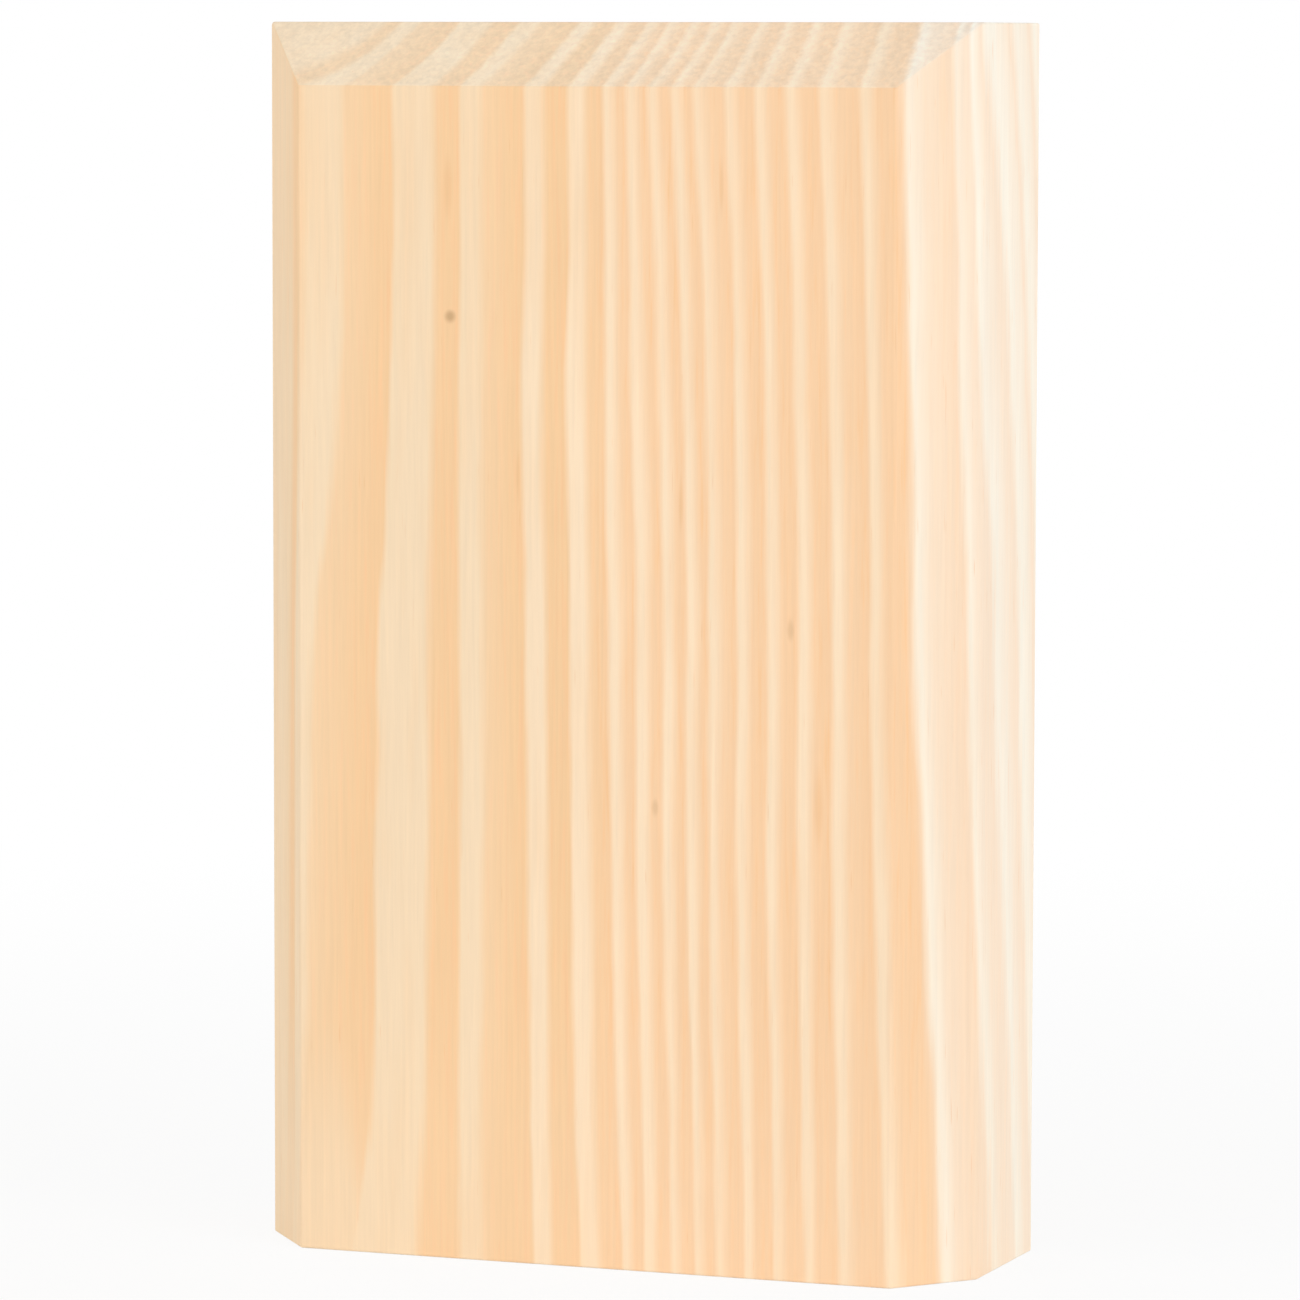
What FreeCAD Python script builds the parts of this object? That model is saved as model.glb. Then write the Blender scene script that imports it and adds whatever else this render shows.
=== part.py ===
import FreeCAD, Part
import Sketcher
import os

# Plinth block: one solid piece of planed softwood that stands at the foot of a door's architrave.
# A bevel down each side and one across the top frame its flat front face, and they meet in mitres.
# Frame: +Z up the block, -Y out of the front face, origin at the middle of the foot.

doc = FreeCAD.newDocument("plinth_block")

# Driving dimensions, in millimetres
driving = [
    ("block_width", 95.0, "from side to side"),
    ("block_depth", 32.0, "from the back, against the wall, to the front face"),
    ("block_height", 155.0, "from the floor to the top"),
    ("bevel_face", 8.0, "what each bevel takes from the front face"),
    ("bevel_depth", 10.0, "how far each bevel runs back from the front face"),
    ("arris_radius", 0.4, "easing of the sanded edges"),
]
sheet = doc.addObject("Spreadsheet::Sheet", "Sizes")
for row, (alias, value, meaning) in enumerate(driving, start=1):
    sheet.set(f"A{row}", meaning)
    sheet.set(f"B{row}", str(value))
    sheet.setAlias(f"B{row}", alias)
doc.recompute()

# A sketch's own numbers for its origin and for the two ends of a line
ORIGIN = -1
START, END = range(1, 3)


def new_sketch(body, name, plane_role):
    sketch = body.newObject("Sketcher::SketchObject", name)
    plane = next(item for item in body.Origin.OriginFeatures if item.Role == plane_role)
    sketch.AttachmentSupport = (plane, [""])
    sketch.MapMode = "FlatFace"
    return sketch


def draw_outline(sketch, corners):
    # one straight side from each corner to the next, joined end to end
    count = len(corners)
    for side, (x, y) in enumerate(corners):
        next_x, next_y = corners[(side + 1) % count]
        line = Part.LineSegment(FreeCAD.Vector(x, y, 0), FreeCAD.Vector(next_x, next_y, 0))
        sketch.addGeometry(line, False)
    for side in range(count):
        sketch.addConstraint(Sketcher.Constraint("Coincident", side, END, (side + 1) % count, START))


def mirror(sketch, first, second):
    # two points held the same distance to either side of the sketch's vertical axis, its line -2
    sketch.addConstraint(Sketcher.Constraint("Symmetric", *first, *second, -2))


def dimension(sketch, name, kind, first, second, formula):
    # a named distance between two points, each a side and one of its ends, driven by the sheet
    start_value = sheet.evalExpression(formula)
    index = sketch.addConstraint(Sketcher.Constraint(kind, *first, *second, start_value))
    sketch.renameConstraint(index, name)
    sketch.setExpression(f"Constraints.{name}", formula)


body = doc.addObject("PartDesign::Body", "PlinthBlock")
body.Label = "plinth_block"
half_width = sheet.block_width / 2
half_depth = sheet.block_depth / 2
bevel_end = sheet.bevel_depth - half_depth

# Plan section: the planed board with both of its front corners bevelled
plan = new_sketch(body, "PlanSection", "XY_Plane")
left_side, left_bevel, front, right_bevel, right_side, back = range(6)
draw_outline(plan, [
    (-half_width, half_depth),
    (-half_width, bevel_end),
    (sheet.bevel_face - half_width, -half_depth),
    (half_width - sheet.bevel_face, -half_depth),
    (half_width, bevel_end),
    (half_width, half_depth),
])
plan.addConstraint(Sketcher.Constraint("Vertical", left_side))
mirror(plan, (left_side, START), (right_side, END))
mirror(plan, (left_bevel, START), (right_bevel, END))
mirror(plan, (front, START), (front, END))
dimension(plan, "width", "DistanceX", (back, END), (back, START), "Sizes.block_width")
dimension(plan, "back_depth", "DistanceY", (ORIGIN, START), (back, END), "Sizes.block_depth / 2")
dimension(plan, "front_depth", "DistanceY", (front, START), (ORIGIN, START), "Sizes.block_depth / 2")
dimension(plan, "bevel_face", "DistanceX", (left_bevel, START), (left_bevel, END), "Sizes.bevel_face")
dimension(plan, "bevel_depth", "DistanceY", (left_bevel, END), (left_bevel, START), "Sizes.bevel_depth")

board = body.newObject("PartDesign::Pad", "BevelledBoard")
board.Profile = plan
board.setExpression("Length", "Sizes.block_height")

# Top bevel: the same cut taken across the end of the board, so that it mitres with the side bevels
top_section = new_sketch(body, "TopBevelSection", "YZ_Plane")
slope, top_line, face_line = range(3)
draw_outline(top_section, [
    (-half_depth, sheet.block_height - sheet.bevel_face),
    (bevel_end, sheet.block_height),
    (-half_depth, sheet.block_height),
])
top_section.addConstraint(Sketcher.Constraint("Horizontal", top_line))
top_section.addConstraint(Sketcher.Constraint("Vertical", face_line))
dimension(top_section, "front_depth", "DistanceX", (slope, START), (ORIGIN, START), "Sizes.block_depth / 2")
dimension(top_section, "height", "DistanceY", (ORIGIN, START), (slope, END), "Sizes.block_height")
dimension(top_section, "bevel_face", "DistanceY", (slope, START), (slope, END), "Sizes.bevel_face")
dimension(top_section, "bevel_depth", "DistanceX", (slope, START), (slope, END), "Sizes.bevel_depth")

top_bevel = body.newObject("PartDesign::Pocket", "TopBevel")
top_bevel.Profile = top_section
top_bevel.Type = "ThroughAll"
top_bevel.Midplane = True
doc.recompute()
if top_bevel.Shape.Volume >= board.Shape.Volume:
    raise RuntimeError("the top bevel cuts nothing")

# Eased arrises: every edge that hands and sandpaper reach, while the sawn foot keeps its sharp edge
eased_edges = [
    f"Edge{number}" for number, edge in enumerate(top_bevel.Shape.Edges, start=1)
    if edge.CenterOfMass.z > sheet.arris_radius
]
arrises = body.newObject("PartDesign::Fillet", "EasedArrises")
arrises.Base = (top_bevel, eased_edges)
arrises.setExpression("Radius", "Sizes.arris_radius")
body.Tip = arrises
doc.recompute()

for item in doc.Objects:
    if "Invalid" in item.State or "Error" in item.State:
        raise RuntimeError(f"{item.Name} failed: {item.State}")
if body.Shape.isNull() or not body.Shape.isValid() or len(body.Shape.Solids) != 1:
    raise RuntimeError(f"{body.Label} is not one valid solid")

os.makedirs("parts", exist_ok=True)
body.Shape.exportStep(f"parts/{body.Label}.step")
bounds = body.Shape.optimalBoundingBox(False)
print(f"{body.Label}: {bounds.XLength:.2f} x {bounds.YLength:.2f} x {bounds.ZLength:.2f} mm,",
      f"{body.Shape.Volume / 1000:.1f} cm3, {len(body.Shape.Faces)} faces")
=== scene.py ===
import math

import bpy
from mathutils import Matrix, Vector


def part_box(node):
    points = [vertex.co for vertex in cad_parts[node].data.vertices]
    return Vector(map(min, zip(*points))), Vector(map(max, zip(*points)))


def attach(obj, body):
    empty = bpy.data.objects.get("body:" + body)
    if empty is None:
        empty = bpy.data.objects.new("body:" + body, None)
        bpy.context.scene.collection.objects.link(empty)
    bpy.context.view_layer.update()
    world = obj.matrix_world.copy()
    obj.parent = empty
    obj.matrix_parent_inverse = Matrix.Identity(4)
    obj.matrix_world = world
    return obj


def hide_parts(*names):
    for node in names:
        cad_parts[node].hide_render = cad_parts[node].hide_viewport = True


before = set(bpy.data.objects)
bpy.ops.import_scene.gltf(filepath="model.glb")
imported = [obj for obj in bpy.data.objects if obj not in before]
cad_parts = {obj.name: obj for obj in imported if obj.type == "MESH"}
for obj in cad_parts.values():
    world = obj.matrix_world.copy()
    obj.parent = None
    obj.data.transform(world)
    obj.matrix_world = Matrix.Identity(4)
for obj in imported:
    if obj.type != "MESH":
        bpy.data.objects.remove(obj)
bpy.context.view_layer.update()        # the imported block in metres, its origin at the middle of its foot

scene = bpy.context.scene
mmPerMetre = 1000.0
print("frame loaded:", sorted(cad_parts))


# Small helpers for building node trees

def emptyTree(owner):  # the node tree of a material or a world, with nothing in it
    owner.use_nodes = True
    owner.node_tree.nodes.clear()
    return owner.node_tree


def addNode(tree, kind, **settings):  # a node with its menu settings
    made = tree.nodes.new("ShaderNode" + kind)
    for name, value in settings.items():
        setattr(made, name, value)
    return made


def feed(tree, socket, value):  # a link from another node, or a plain number or colour
    if isinstance(value, bpy.types.NodeSocket):
        tree.links.new(value, socket)
    else:
        socket.default_value = value


def feedAll(tree, node, *values):  # the first sockets of a node, in their order
    for socket, value in zip(node.inputs, values):
        feed(tree, socket, value)
    return node.outputs[0]


def calc(tree, operation, *values):  # one Math node
    return feedAll(tree, addNode(tree, "Math", operation=operation), *values)


def ease(tree, value, start, end, low=0.0, high=1.0):  # smooth step, from low at start to high at end
    made = addNode(tree, "MapRange", interpolation_type="SMOOTHSTEP")
    return feedAll(tree, made, value, start, end, low, high)


def length(tree, first, second):  # of the long side of a right-angled triangle
    squares = [calc(tree, "MULTIPLY", side, side) for side in (first, second)]
    return calc(tree, "SQRT", calc(tree, "ADD", *squares))


mixSockets = {"factor": 0, "first": 6, "second": 7, "result": 2}  # of a Mix node that mixes colours


def blend(tree, amount, first, second, mode="MIX"):  # two colours mixed
    made = addNode(tree, "Mix", data_type="RGBA", blend_type=mode)
    for name, value in (("factor", amount), ("first", first), ("second", second)):
        feed(tree, made.inputs[mixSockets[name]], value)
    return made.outputs[mixSockets["result"]]


def dim(tree, colour, factor):  # a colour made darker or lighter by a number
    grey = feedAll(tree, addNode(tree, "CombineColor"), factor, factor, factor)
    return blend(tree, 1.0, colour, grey, "MULTIPLY")


def drawnCurve(tree, value, points, handles="AUTO_CLAMPED"):  # level beyond its first and last point
    inputs, outputs = zip(*points)
    lowIn, highIn, lowOut, highOut = min(inputs), max(inputs), min(outputs), max(outputs)
    made = addNode(tree, "FloatCurve")
    made.mapping.extend = "HORIZONTAL"
    marks = [((x - lowIn) / (highIn - lowIn), (y - lowOut) / (highOut - lowOut)) for x, y in points]
    line = made.mapping.curves[0]
    line.points[0].location, line.points[1].location = marks[0], marks[-1]
    for mark in marks[1:-1]:
        line.points.new(*mark)
    for point in line.points:
        point.handle_type = handles
    made.mapping.update()
    share = calc(tree, "DIVIDE", calc(tree, "SUBTRACT", value, lowIn), highIn - lowIn)
    feed(tree, made.inputs["Value"], share)
    return calc(tree, "MULTIPLY_ADD", made.outputs[0], highOut - lowOut, lowOut)


def grainNoise(tree, place, across, along, detail=3.0, roughness=0.5):  # about zero, its waves in mm
    steps = [calc(tree, "DIVIDE", value, size) for value, size in zip(place, (across, across, along))]
    made = addNode(tree, "TexNoise", noise_dimensions="3D")
    feed(tree, made.inputs["Vector"], feedAll(tree, addNode(tree, "CombineXYZ"), *steps))
    for name, value in (("Scale", 1.0), ("Detail", detail), ("Roughness", roughness)):
        made.inputs[name].default_value = value
    return calc(tree, "SUBTRACT", made.outputs[0], 0.5)


def seen(red, green, blue):  # a colour as a picture shows it, 0 to 255, made linear for a shader
    shares = [part / 255 for part in (red, green, blue)]
    linear = [part / 12.92 if part <= 0.04045 else ((part + 0.055) / 1.055) ** 2.4 for part in shares]
    return (*linear, 1.0)


# Pine: one solid grain through the whole block, so that every face shows the same rings

pineGrain = {  # millimetres from the left side, behind the front face and above the foot
    "pith": (-5.0, 21.0),  # middle of the inner rings, just outside the left side
    "outerPithDepth": -5.0,  # the outer rings curve about a point further forward
    "pithMoves": (50.0, 95.0),  # stretch across the block over which that point comes forward
    "leans": [  # of the grain: how far by height, and then the share of it across the block
        ([(0, -2.7), (22, -1.0), (55, -0.4), (78, 0), (94, 1.2), (110, 2.0), (155, 2.4)],
         [(0, 1.0), (6, 1.7), (13, 1.7), (19, 1.0), (30, 0)]),
        ([(0, 1.3), (20, 0.9), (50, 0.3), (78, 0), (105, -0.4), (130, 0), (155, 0.2)],
         [(33, 0), (39, 0.9), (50, 1.0), (54, 0.3), (57, 0)]),
        ([(0, 1.2), (31, 0.7), (62, 0.1), (85, -0.1), (108, -0.8), (155, -2.8)],
         [(26, 0), (44, 0.3), (50, 0.65), (60, 1.0), (67, 0.8), (88, 0.95), (95, 1.4)]),
        ([(0, 1.4), (30, 0.8), (58, 0.3), (85, -0.4), (105, -0.3), (130, 0.4), (155, 1.0)],
         [(78, 0), (84, 0.5), (90, 1.0), (95, 0.3)]),
    ],
    "wander": [(30.0, 80.0, 0.9), (1.3, 20.0, 0.42)],  # of the rings: mm across, mm along, reach in mm
}
pineRings = {
    # where the pale wood of a ring begins on the front at half height, its width, and the tone after it
    "wide": [(5.0, 5.2, 0.35), (19.0, 6.6, 0.05), (29.8, 3.0, 0.3), (38.6, 2.6, 0), (44.6, 2.5, 0.1)],
    "wideTones": (1.03, -0.09),  # of the pale wood and of the ring's hard end
    "narrow": [
        (49.9, 1.6, 0.15), (53.5, 1.6, 0.15), (57.0, 1.4, 0.05), (60.2, 1.3, 0.05), (63.1, 1.2, 0.25),
        (66.8, 1.4, 0.05), (70.7, 1.4, 0.05), (74.6, 1.6, 0.05), (79.0, 1.6, 0.25), (84.2, 1.6, 0.1),
        (89.4, 1.3, 0.35), (95.0, 0.7, 0.1), (97.4, 0.7, 0.2), (99.6, 0.8, 0.4), (101.7, 0.8, 0.4),
        (103.8, 0.9, 0.3),
    ],
    "narrowTones": (1.0, -0.05),
    "rise": 0.8,  # mm over which a ring turns pale
    "fall": 1.3,  # mm over which it turns back to summer wood
    "first": [  # radius and tone of the rings about the pith
        (4.0, -0.1), (5.5, 0.9), (7.0, 0.9), (8.5, 0), (9.5, -0.1), (11.0, 0.9), (19.5, 0.9), (21.2, 0.1),
        (22.4, 0.1),
    ],
    "sapwoodAndSheen": [(88.6, 0), (90.0, 0.7), (94.0, 0.6), (97.0, 1.0)],  # place on the front, as above, and share of the paler sapwood colours, which also hold painted sheen
    "patches": 0.9,  # how uneven the pale wood is
    "footPatchAndBounce": (15.5, 19.5, 0.8, 0.2),  # the wide rings turn pale at the foot, and the whole foot is paler with painted bounce light from the floor: from x, to x, and how much
    "footHeight": (5.0, 45.0),
    "footSlant": 0.15,  # the pale part narrows by this much for each mm up
    "topFade": (75.0, 145.0, 1.0, 0.8),  # the pale wood weakens towards the top: from z, to z, and how much
}
pineNoise = {  # mm across, mm along, detail and, where it isn't 0.5, roughness
    "patches": (3.0, 30.0, 2.0),
    "fibre": (0.5, 24.0, 3.0, 0.62),
    "streak": (0.7, 14.0, 3.0, 0.65),
    "broad": (16.0, 60.0, 2.0),
    "flecks": (0.35, 6.0, 1.0),
    "cutFibres": (0.9, 0.9, 3.0, 0.6),
    "endClouds": (9.0, 9.0, 1.0),
}
pineMarks = {
    "pinKnots": [  # x, z, half width, half length, depth of colour
        (28.6, 118.5, 0.95, 1.0, 0.65), (56.0, 58.2, 0.6, 1.4, 0.26), (73.7, 80.8, 0.6, 1.7, 0.28),
    ],
    "resinStreaks": [
        (28.3, 134.5, 0.8, 5.0, 0.8), (37.7, 99.0, 0.4, 4.0, 0.8), (64.5, 135.0, 0.4, 4.0, 0.8),
        (59.3, 96.0, 0.4, 4.0, 0.8), (77.4, 59.0, 0.8, 6.0, 0.8),
    ],
    "spotEdge": (0.2, 1.1),  # shares of its half size between which a spot fades
    "spotDepth": (4.0, 8.0),  # mm behind the front face over which it ends
    "resinFlecks": (0.19, 0.32, 0.0, 0.7),  # from and to which noise they show, and how much
    "resin": 0.55,  # depth of its colour
}
pineColours = {
    "springLeft": seen(249, 223, 188),  # spring growth, yellower in the wide rings
    "spring": seen(254, 228, 195),
    "springTurn": (28.0, 46.0),  # mm across over which it changes
    "summerLeft": seen(249, 208, 160),  # summer growth, deeper in the wide rings
    "summer": seen(251, 210, 167),
    "summerTurn": (44.0, 53.0),
    "late": seen(249, 203, 155),  # the last and hardest wood of each ring
    "hardening": 5.0,  # how soon summer wood takes that colour
    "sapSpringWithSheen": seen(253, 244, 228),  # the youngest rings are paler and pinker, and made paler still with painted sheen of the right bevel and side
    "sapSummerWithSheen": seen(252, 230, 206),
    "sapLateWithSheen": seen(251, 226, 200),
    "resin": seen(240, 190, 138),
    "pinKnot": seen(190, 148, 104),
}
pineFinish = {
    "shades": {"fibre": 0.12, "streak": 0.10, "broad": 0.07},  # how much each noise darkens or lightens
    "endFacing": (0.45, 0.7),  # upward part of the normal at which end grain begins and is full
    "endLevel": 0.99,
    "endShades": {"cutFibres": 0.32, "endClouds": 0.10},
    "endSpring": 0.03,  # how much paler its spring wood is
    "endHue": 0.506,
    "endSaturation": 0.80,
    "bumpStrength": 0.35,
    "bumpHeight": 0.00006,  # metres
    "roughness": 0.66,
    "springRoughness": 0.06,  # added in spring wood
    "fibreRoughness": 0.18,  # added along the fibres
    "specular": 0.3,
}


def placeInBlock(tree, where):  # mm from the left side, the front face and the foot
    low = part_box("plinth_block")[0]
    split = addNode(tree, "SeparateXYZ")
    feed(tree, split.inputs[0], where)
    return [
        calc(tree, "MULTIPLY", calc(tree, "SUBTRACT", socket, start), mmPerMetre)
        for socket, start in zip(split.outputs, low)
    ]


def ringRadius(tree, place):  # distance from the pith, with the lean of the grain and a little wander
    across, depth, height = place
    lean = 0.0
    for byHeight, share in pineGrain["leans"]:
        leaning = drawnCurve(tree, height, byHeight)
        lean = calc(tree, "MULTIPLY_ADD", leaning, drawnCurve(tree, across, share), lean)
    straight = calc(tree, "SUBTRACT", across, lean)
    pithAcross, pithDepth = pineGrain["pith"]
    pithNow = ease(tree, straight, *pineGrain["pithMoves"], pithDepth, pineGrain["outerPithDepth"])
    sideways = calc(tree, "SUBTRACT", straight, pithAcross)
    radius = length(tree, sideways, calc(tree, "SUBTRACT", depth, pithNow))
    for wide, long, reach in pineGrain["wander"]:
        radius = calc(tree, "MULTIPLY_ADD", grainNoise(tree, place, wide, long), 2 * reach, radius)
    return radius


def frontRadius(x):  # the same distance on the front face, without lean or wander
    pithAcross, pithDepth = pineGrain["pith"]
    start, end = pineGrain["pithMoves"]
    part = min(max((x - start) / (end - start), 0.0), 1.0)
    moved = part * part * (3 - 2 * part)
    return math.hypot(x - pithAcross, pithDepth + moved * (pineGrain["outerPithDepth"] - pithDepth))


def ringSteps(rings, paleTone, endTone):  # radius and tone wherever a ring's tone turns
    rise, fall = pineRings["rise"] / 2, pineRings["fall"] / 2
    for (start, width, tail), following in zip(rings, [*rings[1:], None]):
        if width > rise + fall:
            yield frontRadius(start + rise), paleTone
            yield frontRadius(start + width - fall), paleTone
        else:
            yield frontRadius(start + width * rise / (rise + fall)), paleTone
        yield frontRadius(start + width + fall), tail
        if following:
            yield frontRadius(following[0] - rise), endTone


def ringTone(tree, radius):  # 1 in pale spring wood, 0 in summer wood and less at a ring's hard end
    wideEnd = frontRadius(pineRings["narrow"][0][0] - pineRings["rise"] / 2)
    border = (wideEnd, pineRings["wideTones"][1])
    wideSteps = [*pineRings["first"], *ringSteps(pineRings["wide"], *pineRings["wideTones"]), border]
    narrowSteps = [border, *ringSteps(pineRings["narrow"], *pineRings["narrowTones"])]
    wideTone = drawnCurve(tree, radius, wideSteps, "VECTOR")  # straight from step to step
    narrowTone = drawnCurve(tree, radius, narrowSteps, "VECTOR")
    outer = calc(tree, "GREATER_THAN", radius, wideEnd)
    return calc(tree, "MULTIPLY_ADD", outer, calc(tree, "SUBTRACT", narrowTone, wideTone), wideTone)


def springShare(tree, place, tone, patches):  # how much of the wood is pale, with painted bounce light along the foot
    across, _, height = place
    uneven = calc(tree, "MULTIPLY_ADD", patches, pineRings["patches"], 1.0)
    spring = calc(tree, "MULTIPLY", calc(tree, "MAXIMUM", tone, 0.0), uneven)
    # painted bounce light: the foot is paler, most at the left where the wide rings turn pale
    footPlace = calc(tree, "MULTIPLY_ADD", height, pineRings["footSlant"], across)
    footPatchAndBounce = ease(tree, footPlace, *pineRings["footPatchAndBounce"])
    nearFoot = ease(tree, height, *pineRings["footHeight"], 1.0, 0.0)
    return calc(tree, "MAXIMUM", spring, calc(tree, "MULTIPLY", footPatchAndBounce, nearFoot))


def ringColour(tree, place, radius, tone, spring, streak):  # yellower to the left, paler in the sapwood, which also carries painted sheen on the right bevel and side
    across, _, height = place
    rightwards = ease(tree, across, *pineColours["springTurn"])
    springColour = blend(tree, rightwards, pineColours["springLeft"], pineColours["spring"])
    rightwards = ease(tree, across, *pineColours["summerTurn"])
    summerColour = blend(tree, rightwards, pineColours["summerLeft"], pineColours["summer"])
    hardening = pineColours["hardening"]
    hardEnd = calc(tree, "MAXIMUM", calc(tree, "MULTIPLY", tone, -hardening), 0.0)
    hardness = calc(tree, "MULTIPLY_ADD", streak, hardening, hardEnd)
    heartwood = blend(tree, hardness, summerColour, pineColours["late"])
    topFade = ease(tree, height, *pineRings["topFade"])
    heartwood = blend(tree, calc(tree, "MULTIPLY", spring, topFade), heartwood, springColour)
    # sapwood colours: paler young wood plus painted sheen, on the right bevel and side
    sapwoodAndSheen = blend(tree, hardness, pineColours["sapSummerWithSheen"], pineColours["sapLateWithSheen"])
    sapwoodAndSheen = blend(tree, spring, sapwoodAndSheen, pineColours["sapSpringWithSheen"])
    sapAndSheenSteps = [(frontRadius(x), share) for x, share in pineRings["sapwoodAndSheen"]]
    return blend(tree, drawnCurve(tree, radius, sapAndSheenSteps, "VECTOR"), heartwood, sapwoodAndSheen)


def frontSpots(tree, place, spots):  # soft long spots on the front face, one after another
    across, depth, height = place
    onFront = ease(tree, depth, *pineMarks["spotDepth"], 1.0, 0.0)
    for x, z, halfWidth, halfLength, strength in spots:
        spanX = calc(tree, "DIVIDE", calc(tree, "SUBTRACT", across, x), halfWidth)
        spanZ = calc(tree, "DIVIDE", calc(tree, "SUBTRACT", height, z), halfLength)
        spot = ease(tree, length(tree, spanX, spanZ), *pineMarks["spotEdge"], strength, 0.0)
        yield calc(tree, "MULTIPLY", spot, onFront)


def resinShare(tree, place, flecks):  # fine flecks all over and a few streaks on the front
    resin = ease(tree, flecks, *pineMarks["resinFlecks"])
    for spot in frontSpots(tree, place, pineMarks["resinStreaks"]):
        resin = calc(tree, "MAXIMUM", resin, spot)
    return calc(tree, "MULTIPLY", resin, pineMarks["resin"])


def unevenLevel(tree, level, noises, strengths):  # a level with noises added to it
    for name, strength in strengths.items():
        level = calc(tree, "MULTIPLY_ADD", noises[name], strength, level)
    return level


def endGrainColour(tree, colour, spring, noises):  # greyer, with the mottle of cut fibres
    mottle = unevenLevel(tree, pineFinish["endLevel"], noises, pineFinish["endShades"])
    mottle = calc(tree, "MULTIPLY_ADD", spring, pineFinish["endSpring"], mottle)
    greyer = addNode(tree, "HueSaturation")
    greyer.inputs["Hue"].default_value = pineFinish["endHue"]
    greyer.inputs["Saturation"].default_value = pineFinish["endSaturation"]
    feed(tree, greyer.inputs["Color"], colour)
    return dim(tree, greyer.outputs[0], mottle)


def pineMaterial():
    material = bpy.data.materials.new("plain_pine")
    tree = emptyTree(material)
    where = addNode(tree, "TexCoord")
    place = placeInBlock(tree, where.outputs["Object"])
    noises = {name: grainNoise(tree, place, *waves) for name, waves in pineNoise.items()}

    # growth rings, resin and fibres
    radius = ringRadius(tree, place)
    tone = ringTone(tree, radius)
    spring = springShare(tree, place, tone, noises["patches"])
    colour = ringColour(tree, place, radius, tone, spring, noises["streak"])
    colour = blend(tree, resinShare(tree, place, noises["flecks"]), colour, pineColours["resin"])
    colour = dim(tree, colour, unevenLevel(tree, 1.0, noises, pineFinish["shades"]))

    # end grain on the top, its bevel and the foot
    facing = addNode(tree, "SeparateXYZ")
    feed(tree, facing.inputs[0], where.outputs["Normal"])
    endGrain = ease(tree, calc(tree, "ABSOLUTE", facing.outputs["Z"]), *pineFinish["endFacing"])
    colour = blend(tree, endGrain, colour, endGrainColour(tree, colour, spring, noises))

    # pin knots: the ends of twigs that show on the front face
    for knot in frontSpots(tree, place, pineMarks["pinKnots"]):
        colour = blend(tree, knot, colour, pineColours["pinKnot"])

    # planed and sanded bare wood, with fine fibres to be felt along the grain
    bump = addNode(tree, "Bump")
    bump.inputs["Strength"].default_value = pineFinish["bumpStrength"]
    bump.inputs["Distance"].default_value = pineFinish["bumpHeight"]
    feed(tree, bump.inputs["Height"], noises["fibre"])
    springPart = calc(tree, "MULTIPLY_ADD", spring, pineFinish["springRoughness"], pineFinish["roughness"])
    roughness = calc(tree, "MULTIPLY_ADD", noises["fibre"], pineFinish["fibreRoughness"], springPart)
    surface = addNode(tree, "BsdfPrincipled")
    surface.inputs["Specular IOR Level"].default_value = pineFinish["specular"]
    feed(tree, surface.inputs["Base Color"], colour)
    feed(tree, surface.inputs["Roughness"], roughness)
    feed(tree, surface.inputs["Normal"], bump.outputs[0])
    feed(tree, addNode(tree, "OutputMaterial").inputs[0], surface.outputs[0])
    return material


# The block: a planed board with three bevels and eased arrises

blockShape = {  # metres
    "bevelFace": 0.008,  # what each bevel takes from the front face
    "bevelDepth": 0.010,  # how far it runs back
    "arris": 0.0003,  # easing of the sanded edges
    "arrisSteps": 4,
    "mergeWithin": 0.00001,
    "smoothAngle": 30,  # degrees
    "flatness": 100,  # weight of the large faces in the normals
}


def selectEdges(block, wanted):  # by the places of their two ends
    bpy.ops.object.mode_set(mode="OBJECT")
    mesh = block.data
    for part in (*mesh.vertices, *mesh.polygons, *mesh.edges):
        part.select = False
    for edge in mesh.edges:
        edge.select = wanted(*(mesh.vertices[index].co for index in edge.vertices))
    bpy.ops.object.mode_set(mode="EDIT")
    bpy.ops.mesh.select_mode(type="EDGE")


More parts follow.
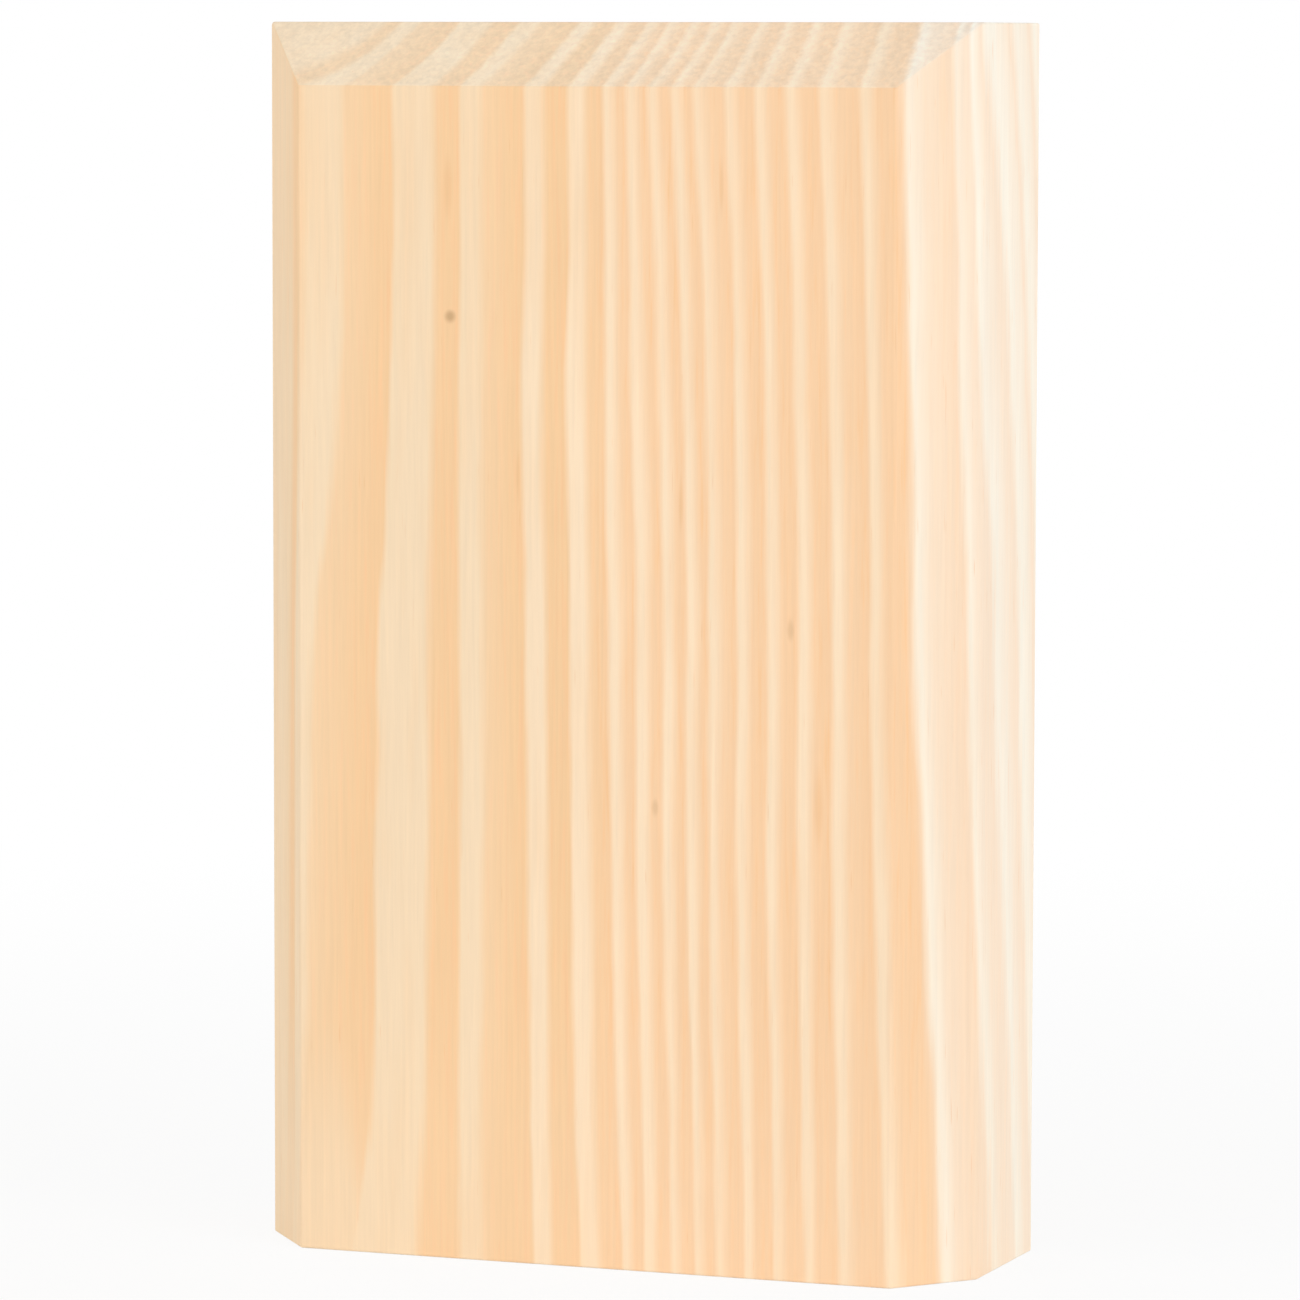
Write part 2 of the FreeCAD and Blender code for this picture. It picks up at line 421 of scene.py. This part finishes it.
def buildBlock():
    low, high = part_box("plinth_block")
    face, run = blockShape["bevelFace"], blockShape["bevelDepth"]
    bpy.ops.object.select_all(action="DESELECT")
    bpy.ops.mesh.primitive_cube_add(size=1, location=(low + high) / 2, scale=high - low)
    block = bpy.context.object
    block.name = block.data.name = "pine_block"
    bpy.ops.object.transform_apply(location=True, rotation=True, scale=True)

    # each bevel is sawn off by a plane through its line on the front face
    bpy.ops.object.mode_set(mode="EDIT")
    leftCut = (Vector((low.x + face, low.y, 0)), Vector((-run, -face, 0)))
    rightCut = (Vector((high.x - face, low.y, 0)), Vector((run, -face, 0)))
    topCut = (Vector((0, low.y, high.z - face)), Vector((0, -face, run)))
    for point, outwards in (leftCut, rightCut, topCut):
        bpy.ops.mesh.select_all(action="SELECT")
        bpy.ops.mesh.bisect(plane_co=point, plane_no=outwards.normalized(), use_fill=True, clear_outer=True)
    bpy.ops.mesh.select_all(action="SELECT")
    bpy.ops.mesh.remove_doubles(threshold=blockShape["mergeWithin"])

    # all arrises but those of the foot are eased
    selectEdges(block, lambda first, second: max(first.z, second.z) > low.z + face / 2)
    bpy.ops.mesh.bevel(offset=blockShape["arris"], segments=blockShape["arrisSteps"], affect="EDGES")
    bpy.ops.object.mode_set(mode="OBJECT")

    # smooth arrises and flat faces
    bpy.ops.object.shade_smooth_by_angle(angle=math.radians(blockShape["smoothAngle"]))
    bpy.ops.object.modifier_add(type="WEIGHTED_NORMAL")
    flatten = block.modifiers[-1]
    flatten.weight = blockShape["flatness"]
    flatten.keep_sharp = True
    bpy.ops.object.modifier_apply(modifier=flatten.name)
    block.data.materials.clear()
    block.data.materials.append(pineMaterial())
    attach(block, "root")
    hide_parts("plinth_block")
    print("block built:", len(block.data.polygons), "faces")


buildBlock()


# Floor: a wide white sheet that keeps the block's soft shadow

floorLook = {
    "size": 8.0,  # metres
    "colour": (0.94, 0.94, 0.94, 1.0),
    "whiteNear": 0.88,  # how much of the floor the lens sees as plain white, under the block and far off
    "whiteFar": 1.0,
    "fade": (0.10, 0.45),  # metres from the block
}


def rayToLens(tree):  # 1 for what the camera sees, straight or by reflection
    rays = addNode(tree, "LightPath")
    mirrored = calc(tree, "MAXIMUM", rays.outputs["Is Glossy Ray"], rays.outputs["Is Transmission Ray"])
    return calc(tree, "MAXIMUM", rays.outputs["Is Camera Ray"], mirrored)


def buildFloor():
    bpy.ops.object.select_all(action="DESELECT")
    bpy.ops.mesh.primitive_plane_add(size=floorLook["size"])
    floor = bpy.context.object
    floor.name = "studio_floor"
    material = bpy.data.materials.new("white_floor")
    tree = emptyTree(material)
    split = addNode(tree, "SeparateXYZ")
    feed(tree, split.inputs[0], addNode(tree, "TexCoord").outputs["Object"])
    away = length(tree, split.outputs["X"], split.outputs["Y"])
    whiteShare = ease(tree, away, *floorLook["fade"], floorLook["whiteNear"], floorLook["whiteFar"])
    whiteShare = calc(tree, "MULTIPLY", rayToLens(tree), whiteShare)
    matt = addNode(tree, "BsdfDiffuse")
    matt.inputs["Color"].default_value = floorLook["colour"]
    white = addNode(tree, "Emission")
    mixed = feedAll(tree, addNode(tree, "MixShader"), whiteShare, matt.outputs[0], white.outputs[0])
    feed(tree, addNode(tree, "OutputMaterial").inputs[0], mixed)
    floor.data.materials.append(material)


buildFloor()


# Light: soft lamps to the right, the front left, above and behind, and an even white room

studioLight = {
    "white": (1.0, 1.0, 1.0, 1.0),
    "room": 0.48,  # how strongly the room lights the block
    "lamps": [  # name, width in metres, place, watts
        ("right_softbox", 0.9, (1.30, -0.55, 0.36), 8.2),
        ("left_softbox", 0.9, (-0.80, -1.10, 0.26), 6.05),
        ("top_softbox", 0.8, (0.0, -0.25, 1.20), 1.7),
        ("back_right_softbox", 0.6, (0.90, 0.90, 0.50), 1.0),
        ("back_left_softbox", 0.6, (-0.90, 0.90, 0.50), 2.2),
    ],
    "aim": (0, 0, 0.08),
}


def buildLight():
    world = bpy.data.worlds.new("white_room")
    tree = emptyTree(world)
    room = addNode(tree, "Background")
    room.inputs["Strength"].default_value = studioLight["room"]
    backdrop = addNode(tree, "Background")
    for background in (room, backdrop):
        background.inputs["Color"].default_value = studioLight["white"]
    shaders = room.outputs[0], backdrop.outputs[0]
    mixed = feedAll(tree, addNode(tree, "MixShader"), rayToLens(tree), *shaders)
    feed(tree, addNode(tree, "OutputWorld").inputs[0], mixed)
    scene.world = world
    aim = Vector(studioLight["aim"])
    for name, width, place, watts in studioLight["lamps"]:
        bpy.ops.object.light_add(type="AREA", location=place)
        lamp = bpy.context.object
        lamp.name = name
        lamp.data.shape = "DISK"
        lamp.data.size = width
        lamp.data.energy = watts
        lamp.rotation_euler = (aim - Vector(place)).to_track_quat("-Z", "Y").to_euler()


buildLight()
print("floor and light ready")


# Camera: a long lens, to the right of the block and about level with its top

photoCamera = {
    "lens": 189.5,  # mm
    "sensor": 36.0,  # mm wide
    "turn": 20.8,  # degrees to the right of the front face
    "tilt": 5.06,  # degrees above the horizon
    "roll": 0.12,
    "aim": (0.0017, 0.0, 0.07624),
    "distance": 0.862,  # metres
}


def buildCamera():
    turn, tilt, roll = (math.radians(photoCamera[name]) for name in ("turn", "tilt", "roll"))
    back = Vector((math.sin(turn) * math.cos(tilt), -math.cos(turn) * math.cos(tilt), math.sin(tilt)))
    place = Vector(photoCamera["aim"]) + back * photoCamera["distance"]
    bpy.ops.object.camera_add(location=place)
    camera = bpy.context.object
    camera.name = "photo_camera"
    camera.data.lens = photoCamera["lens"]
    camera.data.sensor_width = photoCamera["sensor"]
    looking = (-back).to_track_quat("-Z", "Y").to_matrix() @ Matrix.Rotation(roll, 3, "Z")
    camera.rotation_euler = looking.to_euler()
    scene.camera = camera


buildCamera()
scene.view_settings.view_transform = "Standard"
